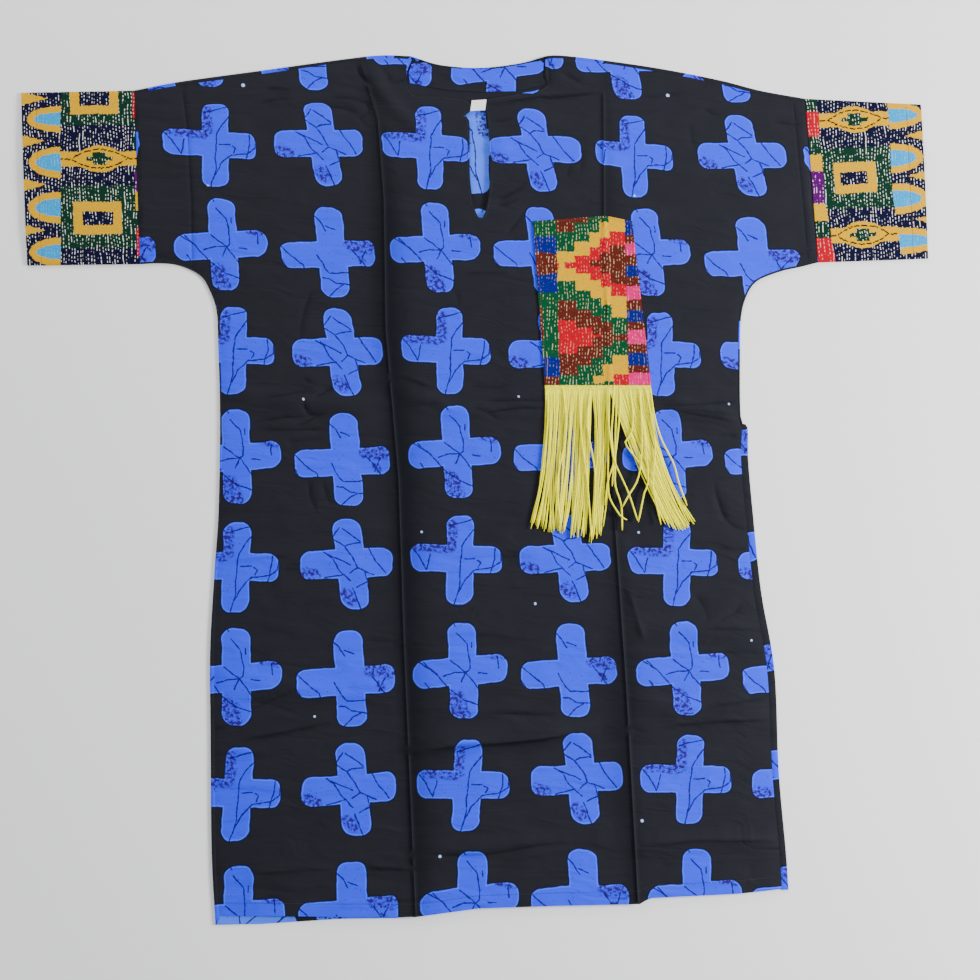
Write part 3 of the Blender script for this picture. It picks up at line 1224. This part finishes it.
def strip_cloth(name, draw, pale):
    """Strip cloth whose chart is drawn by the given function, in millimetres on its map,
    with the pale floats that are given."""
    material, t, shader = new_material(name, Roughness=0.8)
    place = t.node("UVMap", {"uv_map": "weave"})
    u, v = place.parts()
    thread = (u / WARP_PITCH).maths("FLOOR")
    pick = (v / WEFT_PITCH).maths("FLOOR")
    ragged_v = t.node("TexWhiteNoise", {"noise_dimensions": "1D"}, {"W": thread}) - 0.5
    ragged_u = t.node("TexWhiteNoise", {"noise_dimensions": "1D"}, {"W": pick + 0.31}) - 0.5
    drift = t.node("TexNoise", values={"Vector": place, "Scale": 0.035, "Detail": 1.0}) - 0.5
    drawn_u = u + ragged_u * 1.3 + drift * 3.0
    drawn_v = v + ragged_v * 1.5 + drift * 3.0
    weave = draw(drawn_u, drawn_v)

    column = (u + drift * 8.0) / FLOAT_PITCH
    nearest = column.maths("FLOOR")
    sway = t.node("TexWhiteNoise", {"noise_dimensions": "1D"}, {"W": nearest})
    across = abs(column - nearest - 0.35 - sway * 0.3) * FLOAT_PITCH
    run = t.node("CombineXYZ", values={0: nearest * 7.13, 1: v * 0.1})
    long_floats = t.node("TexNoise", values={"Vector": run, "Scale": 1.0, "Detail": 1.0})
    long_ones = (long_floats - 0.61).maths("MULTIPLY", 14.0, clamp=True)
    here_and_there = (long_floats - 0.43).maths("MULTIPLY", 9.0, clamp=True)
    dashes = (v * (2 * math.pi / pale.dash_pitch) + sway * 60.0).maths("SINE")
    short_ones = dashes.maths("MULTIPLY_ADD", 3.0, 0.5, clamp=True) * here_and_there
    floats = across.below(0.46, 0.5) * long_ones.highest(short_ones) * weave.floats

    wefts = (v * 3.6).maths("SINE") + (u * 2.8).maths("SINE") * 0.6
    soft = t.node("TexNoise", values={"Vector": place, "Scale": 0.35, "Detail": 3.0})
    colour = (soft * 0.5).tint(weave.colour, (0.005, 0.005, 0.01))
    blend = {0: pale.tint, 6: (*pale.colour, 1), 7: weave.colour}
    float_colour = t.node("Mix", {"data_type": "RGBA"}, blend, output=2)
    colour = (floats * 0.95).tint(colour, float_colour)
    height = wefts * 0.35 + floats * 1.6 + soft
    bump = t.node("Bump", values={"Strength": 0.5, "Distance": 0.0002, "Height": height})
    plug(shader, Base_Color=colour, Roughness=0.88 - floats * 0.15, Normal=bump)
    shader.inputs["Specular IOR Level"].default_value = YARN_SHINE
    return material


def oval(u, v, centre_u, centre_v, half_u, half_v):
    """0 at the middle of an oval and 1 on its edge."""
    across = (u - centre_u) / half_u
    up = (v - centre_v) / half_v
    return (across * across + up * up).maths("SQRT")


def add_eye(weave, u, v, centre_u, centre_v, reach, last_u):
    """A yellow eye on a bar, with a dark line round its inside and a green core."""
    out = abs(u - centre_u)
    up = abs(v - centre_v)
    swell = (1.0 - (out / reach) * (out / reach)).highest(0.0)
    body = (up - (swell * 18.0).highest(9.6)).below(0.0) * u.below(last_u)
    weave = weave.over(body, yarn("yellow"))
    line = abs(up - swell * 12.5).below(1.0, 0.5)
    broken = ((u + v * 0.6) * 0.63).maths("SINE").maths("MULTIPLY_ADD", 4.0, 3.8, clamp=True)
    weave = weave.over(line * broken * body, Weave(EYE_LINE, 0.0))
    core = (out - 8.5).highest(up - 8.5).lowest((out - 17.0).highest(up - 2.6))
    return weave.over(core.below(0.0), yarn("green"))


def add_arches(weave, u, v, base, arches, wedges):
    """Yellow arches that point to the cuff's mouth, filled with sky blue, and wedges between."""
    zone = u.above(base)
    weave = weave.over(zone, yarn("navy"))
    for centre, half, tip in arches:
        arch = oval(u, v, base, centre, tip - base + 11, half).below(1.0, 0.03) * zone
        weave = weave.over(arch, yarn("yellow"))
        heart = oval(u, v, base, centre, tip - base + 2, half - 9).below(1.0, 0.05) * zone
        weave = weave.over(heart, yarn("sky"))
    for centre, tip in wedges:
        wedge = (abs(v - centre) - (u - tip) * 0.28).below(0.0) * u.above(tip)
        weave = weave.over(wedge, yarn("yellow"))
    return weave


def left_cuff_chart(u, v):
    weave = bands(v, 240, "navy 9 red 47 green 70 yellow 95 purple 122 green 195 red 229 green")
    field = "navy 21 green 104 navy 185 green"
    walls = "navy 21 green 39 yellow 82 green 104 navy 185 green 200 yellow 234 green"
    hearts = "navy 21 green 39 yellow 51 navy 69 yellow 82 green 104 navy 185 green 200 yellow 211 navy"
    hearts += " 231 yellow 235 green"
    weave = weave.over(u.above(3.0), bands(v, 240, field))
    weave = weave.over(u.between(21.0, 83.0), bands(v, 240, walls))
    weave = weave.over(u.between(32.0, 71.0), bands(v, 240, hearts))
    weave = add_eye(weave, u, v, 47.0, 140.0, 36.5, 100.0)
    arches = [(17, 18.5, 131), (75.5, 21, 133), (136, 21, 131), (194.5, 18, 134), (252, 19, 130)]
    wedges = [(45.5, 122), (106, 120), (165, 123), (223, 120)]
    return add_arches(weave, u + v * 0.035, v, 102.0, arches, wedges)


def right_cuff_chart(u, v):
    shifted = u - (1.0 - v / 80.0).highest(0.0) * 8.0
    beyond_seam_side = shifted.above(15.0)
    seam_side = "red 31 green 54 yellow 77 purple 120 yellow 142 green 166 red 201 green"
    walls = "navy 68 green 89 yellow 130 green 150 navy"
    hearts = "navy 68 green 89 yellow 100 navy 117 yellow 130 green 150 navy"
    weave = bands(v, 220, seam_side)
    weave = weave.over(beyond_seam_side, bands(v, 220, "navy 68 green 150 navy"))
    weave = weave.over(u.between(29.0, 83.0), bands(v, 220, walls))
    weave = weave.over(u.between(37.0, 71.0), bands(v, 220, hearts))
    eyes = add_eye(weave, u, v, 60.0, 188.0, 34.0, 103.0)
    eyes = add_eye(eyes, u, v, 61.0, 34.0, 34.0, 110.0)
    weave = weave.over(beyond_seam_side, eyes)
    arches = [(24, 17.5, 144), (79.5, 20.5, 138), (134, 20, 133), (191.5, 18.5, 137)]
    wedges = [(51.5, 128), (109.5, 124), (164, 123)]
    return add_arches(weave, shifted, v, 103.0, arches, wedges)


def between(start, end, share):
    """The place at a share of the way from start to end."""
    return np.array(start) * (1 - share) + np.array(end) * share


def cuff_ends(cuff, share):
    """The top and bottom of a cuff, at a share of the way from its seam to its mouth."""
    top = between(cuff.seam_top, cuff.mouth_top, share)
    return top, between(cuff.seam_bottom, cuff.mouth_bottom, share)


def cuff_ring(cuff, share):
    """The middle line round a cuff, and how far along the cuff's width each of its points lies."""
    top, bottom = cuff_ends(cuff, share)
    turn = (FRONT_MIDDLE - BACK_MIDDLE) / 2
    edge = turn + CLOTH / 2
    length = np.linalg.norm(top - bottom)
    puff = CUFF_PUFF_AT_SEAM * (1 - share) + CUFF_PUFF_AT_MOUTH * share
    hem_dip = 0.5 * math.exp(-(((share - HEM_STITCHES_AT) / 0.02) ** 2))
    ring = []
    shares = np.linspace(0, 1, CUFF_STEPS_ROUND)
    for i in shares:
        ring.append((edge + (length - 2 * edge) * i, BACK_MIDDLE))
    for angle in CUFF_TURN:
        sway = turn * math.sin(angle)
        ring.append((length - edge + sway, BACK_MIDDLE + turn - turn * math.cos(angle)))
    for i in shares:
        along = length - edge - (length - 2 * edge) * i
        full = math.sin(math.pi * i) ** 0.7
        ripple = 0.5 * noise.noise((share * 3.1 + cuff.seam_top[0], i * 6.0, 0.5)) * full
        ring.append((along, FRONT_MIDDLE + puff * full + ripple - hem_dip * full))
    for angle in CUFF_TURN:
        sway = turn * math.sin(angle)
        ring.append((edge - sway, BACK_MIDDLE + turn + turn * math.cos(angle)))
    points = [(*(bottom + (top - bottom) * along / length), z) for along, z in ring]
    return points, [along for along, z in ring]


for cuff, chart in zip(CUFFS, (left_cuff_chart, right_cuff_chart)):
    cuff_points = []
    cuff_map = []
    for k in range(CUFF_STEPS_OUT + 1):
        ring, alongs = cuff_ring(cuff, k / CUFF_STEPS_OUT)
        cuff_points += ring + ring[:1]
        cuff_map += [(CUFF_SIZE * k / CUFF_STEPS_OUT, along) for along in alongs + alongs[:1]]
    rows = np.arange(len(cuff_points)).reshape(CUFF_STEPS_OUT + 1, -1)
    if cuff.node == "cuff_right":
        rows = rows[::-1]
    cuff_cloth = strip_cloth("strip_cloth_" + cuff.node, chart, CUFF_FLOATS)
    name = cuff.node + "_band"
    band = np.array(cuff_points)
    piece = make_sheet(name, band, grid_faces(rows), STRIP_CLOTH, cuff_map, cuff_cloth, "weave")
    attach(piece, "root")
    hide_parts(cuff.node)


# The pocket is a patch of strip cloth, laid on the front over its right pressed line.
# Its edges are turned under and sewn down with brown thread.
POCKET = [(69, 133), (203, 133), (182, 346), (148, 353), (55, 346), (69, 133)]
POCKET_RISE = 0.9
POCKET_GAP = 0.5

# The blocks of the pocket from its lower edge up. Each row of steps starts at its place across.
POCKET_LEFT = "brown 13 royal 38 leaf 122 royal 147 brown 171 royal 195 leaf"
POCKET_RIGHT = "pink 18 brown 27 royal 44 brown 55 pink 73 brown 84 royal 99 brown 113 pink"
POCKET_RIGHT += " 131 brown 143 royal 158 brown 171 pink 186 brown 197 royal"
POCKET_STEPS = {
    88.0: "leaf 15 brown 43 red 86 brown 111 leaf 137 yellow 153 red 161 yellow 176 leaf 201 brown",
    111.0: "leaf 28 brown 52 red 76 brown 99 leaf 124 yellow 147 red 170 yellow 188 leaf 213 brown",
    130.0: "leaf 4 yellow 14 leaf 37 brown 64 red 67 brown 91 leaf 115 yellow 138 red 156 brown"
    " 164 red 181 yellow 200 leaf",
    143.0: "leaf 7 yellow 29 leaf 52 brown 83 leaf 106 yellow 129 red 147 brown 174 red"
    " 193 yellow 214 leaf",
    156.0: "red 17 yellow 41 leaf 60 brown 68 leaf 89 yellow 117 red 133 brown 184 red 202 yellow",
}


def pocket_chart(x, y):
    y = y - 130.0
    weave = bands(y, 230, POCKET_LEFT)
    waist = abs(y - 160.0) - 12.0 - (86.0 - x) * 0.15
    weave = weave.over(waist.below(0.0), yarn("brown"))
    sliver = (x - (102.0 - y) * 0.045).below(66.5) * y.between(61.0, 102.0)
    weave = weave.over(sliver, yarn("brown"))
    slant = x + y * 0.016
    for start, blocks in POCKET_STEPS.items():
        weave = weave.over(slant.above(start), bands(y, 230, blocks))
    beside_tongue = x.between(88.0, 94.5) * y.between(151.0, 163.0)
    weave = weave.over(beside_tongue, yarn("yellow"))
    return weave.over((x + y * 0.009).above(174.5), bands(y, 230, POCKET_RIGHT))


pocket_ring = straight_path(POCKET, 4)[:-1]
pocket_grid = grid_points(np.arange(50, 206, 2.6), np.arange(135, 352, 4))
pocket_places, pocket_faces = fill(pocket_ring, pocket_grid)


def pocket_height(x, y):
    """The pocket's middle surface lies on the front, and rises a little at its turned edges."""
    from_edge = path_distance(x, y, POCKET)[0]
    turned = 0.35 * np.clip((9 - from_edge) / 2, 0, 1)
    ripple = 0.25 * cloth_noise(x, y, 22.0)
    return front_height(x, y) + COTTON / 2 + POCKET_RISE / 2 + POCKET_GAP + turned + ripple


pocket_middle = np.column_stack([pocket_places, pocket_height(*pocket_places.T)])
pocket_cloth = strip_cloth("strip_cloth_pocket", pocket_chart, POCKET_FLOATS)
pocket = make_sheet(
    "patch_pocket", pocket_middle, pocket_faces, POCKET_RISE, pocket_places, pocket_cloth, "weave"
)
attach(pocket, "root")
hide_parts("pocket")


# The fringe is the strip cloth's own yellow warp, left long under the pocket.
# A narrow woven heading holds its strands, and they lie loosely over one another.
HEADING = [(69.6, 126.5), (203.2, 126.5), (202.7, 132.7), (69.1, 132.7), (69.6, 126.5)]
STRANDS = 128
CLUMP = 5
FRINGE_TOP = 127.5
FIRST_ROOT = 70.2
LAST_ROOT = 202.6
STRAND_RADIUS = 0.88
STRAND_POINTS = 22
STRAND_SIDES = 6
LOOSE_RADIUS = STRAND_RADIUS * 1.22
TWIST_LENGTH = 3
HEADING_THICKNESS = 0.9
# The strands lie in a wide bundle on the left, a narrow one beside it and one swept to the right.
StrandLie = namedtuple("StrandLie", "root middle_x tip_x tip_y")
STRAND_LIE = [
    StrandLie(70, 66, 50, -45),
    StrandLie(88, 82, 75, -50),
    StrandLie(108.5, 101, 92, -54),
    StrandLie(109.5, 106, 100, -56),
    StrandLie(127.5, 122.5, 118, -56),
    StrandLie(128.5, 131, 126, -64),
    StrandLie(149.5, 146, 140, -50),
    StrandLie(150.5, 184, 219, -40),
    StrandLie(176, 198, 235, -48),
    StrandLie(202, 213, 252, -42),
]
LOOSE_STRANDS = [
    [(156, 132), (154, 96), (152, 71), (154, 35), (152, 4)],
    [(163, 128), (163, 101), (156, 41), (147, 11), (143, -20)],
    [(148, 128), (148, 89), (152, 50), (156, 33), (172, -4), (183, -39)],
    [(160, 128), (157, 70), (156, 27), (156, 4), (163, -19), (164, -51)],
    [(150, 128), (148, 60), (147, 13), (149, -11), (161, -32), (170, -38)],
    [(188, 128), (190, 60), (185, 16), (172, -8), (164, -23)],
    [(176, 128), (179, 96), (177, 72), (169, 60), (171, 54), (185, 35), (196, 10)],
    [(186, 128), (194, 60), (197, 11), (192, -4), (184, -41)],
    [(196, 128), (206, 60), (203, 4), (212, -44)],
    [(112, 128), (114, 70), (121, 10), (126, -63)],
    [(126, 128), (122, 80), (131, 20), (128, -46)],
    [(92, 128), (95, 70), (84, 10), (88, -50)],
    [(202, 128), (206, 94), (215, 62), (229, 33), (236, 6), (245, -20)],
]
YARN_YELLOW = srgb(252, 250, 0)
YARN_PALE = srgb(255, 255, 60)
YARN_SHADE = srgb(244, 234, 0)

fringe_yarn, t, shader = new_material("fringe_yarn", Roughness=0.7)
twist = t.node("UVMap", {"uv_map": "twist"})
round_it, along_it = twist.parts()
plies = ((along_it * 1.9 + round_it) * (2 * math.pi)).maths("SINE") * 0.5 + 0.5
fluff = t.node("TexNoise", values={"Vector": twist, "Scale": 0.8, "Detail": 3.0})
yellow = (plies * 0.6).tint(YARN_SHADE, YARN_YELLOW)
yellow = (fluff * 0.6).tint(yellow, YARN_PALE)
bump = t.node("Bump", values={"Strength": 0.6, "Distance": 0.0003, "Height": plies + fluff * 0.5})
plug(shader, Base_Color=yellow, Normal=bump)
shader.inputs["Specular IOR Level"].default_value = YARN_SHINE


def tube(path, radii, sides_round):
    """The corners, faces and map of a tube along a path, closed at both ends."""
    points = []
    places = []
    along = np.gradient(path, axis=0)
    along /= np.linalg.norm(along, axis=1)[:, None]
    gone = np.concatenate([[0], np.cumsum(np.linalg.norm(np.diff(path, axis=0), axis=1))])
    for centre, forward, radius, run in zip(path, along, radii, gone):
        side = np.cross(forward, (0, 0, 1))
        side /= np.linalg.norm(side)
        up = np.cross(side, forward)
        for k in range(sides_round):
            angle = 2 * math.pi * k / sides_round
            points.append(centre + radius * (side * math.cos(angle) + up * math.sin(angle)))
            places.append((k / sides_round, run / TWIST_LENGTH))
    faces = []
    for i in range(len(path) - 1):
        for k in range(sides_round):
            a = i * sides_round + k
            b = i * sides_round + (k + 1) % sides_round
            faces.append((a, b, b + sides_round, a + sides_round))
    last = len(path) * sides_round
    faces.append(tuple(range(sides_round - 1, -1, -1)))
    faces.append(tuple(range(last - sides_round, last)))
    return points, faces, places


def make_tubes(name, tubes, material, map_name):
    """One piece from many tubes."""
    points = []
    faces = []
    places = []
    for tube_points, tube_faces, tube_places in tubes:
        first = len(points)
        points += tube_points
        faces += [tuple(first + i for i in face) for face in tube_faces]
        places += tube_places
    return make_piece(name, points, faces, places, material, map_name)[0]


chance = np.random.default_rng(7)
roots, *lies = zip(*STRAND_LIE)
root_pitch = (LAST_ROOT - FIRST_ROOT) / (STRANDS - 1)
strand_tubes = []
for i in range(STRANDS):
    root = FIRST_ROOT + root_pitch * i
    middle_x, tip_x, tip_y = (np.interp(root, roots, lie) for lie in lies)
    clump = (i // CLUMP * CLUMP + CLUMP / 2 - i) * root_pitch
    middle_x += 0.22 * clump
    tip_x += 0.5 * clump
    tip_x += chance.normal(0, 2.0)
    tip_y += chance.uniform(-5, 6)
    share = np.linspace(0, 1, STRAND_POINTS)
    sway = chance.normal(0, 1.3, 2)
    bow = middle_x - (root + tip_x) / 2
    xs = root + (tip_x - root) * share + bow * 4 * share * (1 - share)
    xs += sway[0] * np.sin(math.pi * share) + sway[1] * np.sin(2 * math.pi * share) * share
    xs += 0.35 * sway[1] * np.sin(5 * math.pi * share + i) * share
    ys = FRINGE_TOP + (tip_y - FRINGE_TOP) * share
    layer = chance.choice([0, 1, 2]) * 0.8
    zs = front_height(xs, ys) + COTTON / 2 + STRAND_RADIUS + 0.15 + layer * np.clip(share * 6, 0, 1)
    zs = zs + chance.uniform(0, 0.4) * np.sin(share * 9 + chance.uniform(0, 6))
    radii = STRAND_RADIUS * (1 + 0.12 * np.sin(share * 40 + i))
    radii[-2:] *= (0.9, 0.55)
    strand_tubes.append(tube(np.column_stack([xs, ys, zs]), radii, STRAND_SIDES))
for k, path in enumerate(LOOSE_STRANDS):
    route = smooth_path(path, 7)
    height = np.max([front_height(*(route + (dx, 0)).T) for dx in (-2, 0, 2)], axis=0)
    over = 3.2 * np.clip(np.arange(len(route)) / 5, 0, 1) + 0.5 * (k % 3)
    zs = height + COTTON / 2 + STRAND_RADIUS + 0.3 + over
    radii = np.full(len(route), LOOSE_RADIUS)
    radii[-1] *= 0.55
    strand_tubes.append(tube(np.column_stack([route, zs]), radii, STRAND_SIDES))
strands = make_tubes("fringe_strands", strand_tubes, fringe_yarn, "twist")
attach(strands, "root")
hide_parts("pocket_fringe")

heading_ring = straight_path(HEADING, 2.1)[:-1]
heading_grid = grid_points(np.arange(71, 202, 2.1), (128.6, 130.7))
heading_places, heading_faces = fill(heading_ring, heading_grid)
heading_z = front_height(*heading_places.T) + COTTON / 2 + 0.8
heading_z += 0.25 * np.sin(heading_places[:, 0] * 2 * math.pi / 2.7)
heading_middle = np.column_stack([heading_places, heading_z])
heading = make_sheet(
    "fringe_heading",
    heading_middle,
    heading_faces,
    HEADING_THICKNESS,
    heading_places,
    fringe_yarn,
    "twist",
)
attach(heading, "root")


# The size label is a short piece of plain white tape, seen through the slit.
# It is sewn to the back by its top edge, and its lower end lifts a little.
LABEL_SIZE = (19, 14.5)
LABEL_THICKNESS = 0.5
LABEL_HEIGHT = 3.3
label_tape, t, shader = new_material("white_tape", Roughness=0.6)
place = t.node("UVMap", {"uv_map": "tape"})
across, up = place.parts()
ribs = (across * 5.2).maths("SINE") * 0.5 + (up * 7.0).maths("SINE") * 0.5
dust = t.node("TexNoise", values={"Vector": place, "Scale": 0.25, "Detail": 3.0})
bump = t.node("Bump", values={"Strength": 0.4, "Distance": 0.00008, "Height": ribs + dust})
plug(shader, Base_Color=dust.tint(srgb(252, 252, 250), srgb(226, 226, 230)), Normal=bump)
xs = np.linspace(-LABEL_SIZE[0] / 2, LABEL_SIZE[0] / 2, 17)
ys = np.linspace(-LABEL_SIZE[1] / 2, LABEL_SIZE[1] / 2, 13)
label_points = []
label_map = []
for y in ys:
    for x in xs:
        lift = 0.5 * (1 - (y - ys[0]) / LABEL_SIZE[1]) ** 2 + 0.12 * math.sin(x / 3.4)
        place = (LABEL_CENTRE[0] + x + 0.12 * y, LABEL_CENTRE[1] + y + 0.06 * x)
        label_points.append((*place, LABEL_HEIGHT + lift))
        label_map.append((x, y))
label_rows = np.arange(len(label_points)).reshape(len(ys), -1)
label_middle = np.array(label_points)
label_faces = grid_faces(label_rows)
label = make_sheet(
    "label_tape", label_middle, label_faces, LABEL_THICKNESS, label_map, label_tape, "tape"
)
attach(label, "root")
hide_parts("size_label")


# The sewing: black thread round the neck, the slit and the hem, and brown thread
# round the pocket and along the cuffs. Each row of stitches is one piece.
def sewing_thread(name, colour):
    material, t, shader = new_material(name, Roughness=0.55)
    twist = t.node("UVMap", {"uv_map": "twist"})
    round_it, along_it = twist.parts()
    plies = ((along_it * 6.0 + round_it) * (2 * math.pi)).maths("SINE") * 0.5 + 0.5
    lighter = tuple(min(1.0, c * 2.2 + 0.01) for c in colour)
    plug(shader, Base_Color=plies.tint(colour, lighter))
    return material


# How long each stitch is, and the gap to the next one.
NECK_STITCH = (2.2, 0.7)
POCKET_STITCH = (2.4, 0.9)
HEM_STITCH = (2.6, 0.9)
# How far a stitch lies above the cloth, and how thick it is, along its length.
STITCH_RISE = (-0.1, 0.12, 0.12, -0.1)
STITCH_RADII = (0.12, 0.24, 0.24, 0.12)
STITCH_SIDES = 5


def stitches(name, path, surface, thickness, stitch, thread):
    """A row of stitches along a path on the table, each sunk at its ends."""
    length, gap = stitch
    path = np.array(path, float)
    steps = np.linalg.norm(np.diff(path, axis=0), axis=1)
    gone = np.concatenate([[0], np.cumsum(steps)])
    starts = np.arange(0, gone[-1] - length, length + gap)
    shares = starts[:, None] + length * np.array([0, 0.25, 0.75, 1])
    xs = np.interp(shares, gone, path[:, 0])
    ys = np.interp(shares, gone, path[:, 1])
    zs = surface(xs.ravel(), ys.ravel()).reshape(xs.shape) + thickness / 2 + STITCH_RISE
    tubes = [tube(np.column_stack(line), STITCH_RADII, STITCH_SIDES) for line in zip(xs, ys, zs)]
    piece = make_tubes(name, tubes, thread, "twist")
    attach(piece, "root")
    return piece


NECK_STITCHES_IN = 2.4
HEM_STITCHES_UP = 15
front_thread = sewing_thread("black_thread", srgb(16, 16, 20))
pocket_thread = sewing_thread("brown_thread", srgb(96, 40, 26))
neck_stitch_line = (neck_line + inward(neck_line) * NECK_STITCHES_IN)[3:-3]
hem_stitch_line = np.array([hem_at(x, "front") for x in np.arange(hem_left + 3, hem_right - 3, 6)])
hem_stitch_line += (0, HEM_STITCHES_UP)
neck_sewing = stitches("neck_sewing", neck_stitch_line, front_height, COTTON, NECK_STITCH, front_thread)
hem_sewing = stitches("hem_sewing", hem_stitch_line, front_height, COTTON, HEM_STITCH, front_thread)
POCKET_SEAM = [(200.6, 136), (179.6, 343.8), (148, 350.4), (57.6, 343.8), (71.4, 136)]
pocket_line = straight_path(POCKET_SEAM, 4)
pocket_sewing = stitches(
    "pocket_sewing", pocket_line, pocket_height, POCKET_RISE, POCKET_STITCH, pocket_thread
)


def cuff_surface(cuff):
    """The height of a cuff's upper layer by place."""
    found = []
    first = CUFF_STEPS_ROUND + len(CUFF_TURN)
    for k in range(CUFF_STEPS_OUT + 1):
        found += cuff_ring(cuff, k / CUFF_STEPS_OUT)[0][first : first + CUFF_STEPS_ROUND]
    found = np.array(found)

    def height(xs, ys):
        nearest = [np.argmin((found[:, 0] - x) ** 2 + (found[:, 1] - y) ** 2) for x, y in zip(xs, ys)]
        return found[nearest, 2]

    return height


for cuff in CUFFS:
    top, bottom = cuff_ends(cuff, HEM_STITCHES_AT)
    line = straight_path([between(bottom, top, 0.02), between(top, bottom, 0.02)], 6)
    surface = cuff_surface(cuff)
    sewing = stitches(
        cuff.node + "_sewing", line, surface, STRIP_CLOTH, HEM_STITCH, pocket_thread
    )
